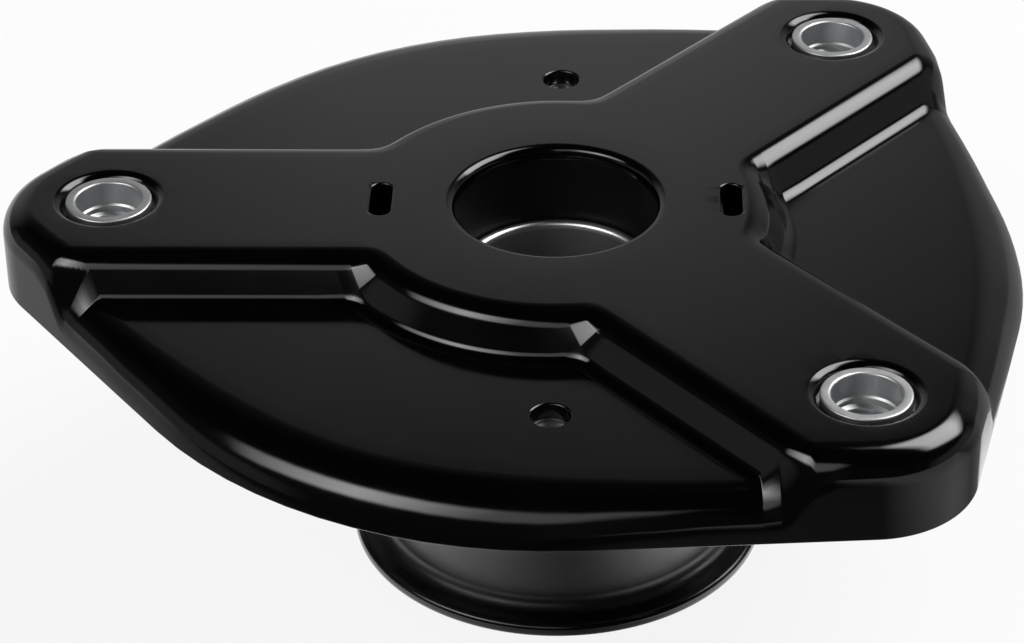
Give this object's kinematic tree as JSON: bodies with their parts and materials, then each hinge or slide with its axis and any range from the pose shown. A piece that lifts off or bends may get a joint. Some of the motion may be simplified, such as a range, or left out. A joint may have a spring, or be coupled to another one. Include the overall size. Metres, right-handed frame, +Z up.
{
  "type": "strut mount",
  "caption": "Pressed star-shaped steel top plate on a drawn pot, with threaded bushes and a rubber-held core that carries a suspension strut's piston rod.",
  "frame": {"origin": "on the strut axis, at the mounting face: the centre of the top plate's centre hole", "axes": "+Z up along the strut axis, out of the mounting face; +X midway between the close pair of bushes, away from the lone bush"},
  "size_m": [0.1657, 0.1514, 0.0626],
  "materials": {
    "plate_coat": "glossy black electro-dip coat on pressed steel",
    "pot_coat": "satin black electro-dip coat on drawn steel",
    "ring_rubber": "moulded black rubber, semi-matt",
    "core_steel": "bright turned steel",
    "bush_steel": "zinc-plated turned steel"
  },
  "bodies": {
    "housing": {"top_plate": "plate_coat", "lower_pot": "pot_coat", "rebound_plate": "pot_coat", "bush_left": "bush_steel", "bush_rear": "bush_steel", "bush_front": "bush_steel", "upper_rubber": "ring_rubber", "lower_rubber": "ring_rubber"},
    "core": {"inner_core": "core_steel"}
  },
  "joints": [
    {"name": "core_float", "type": "slide", "parent": "housing", "child": "core", "axis": [0, 0, 1], "range_m": [-0.004, 0.004], "stiffness_N_per_m": 300000, "deforming": ["upper_rubber", "lower_rubber"]}
  ]
}
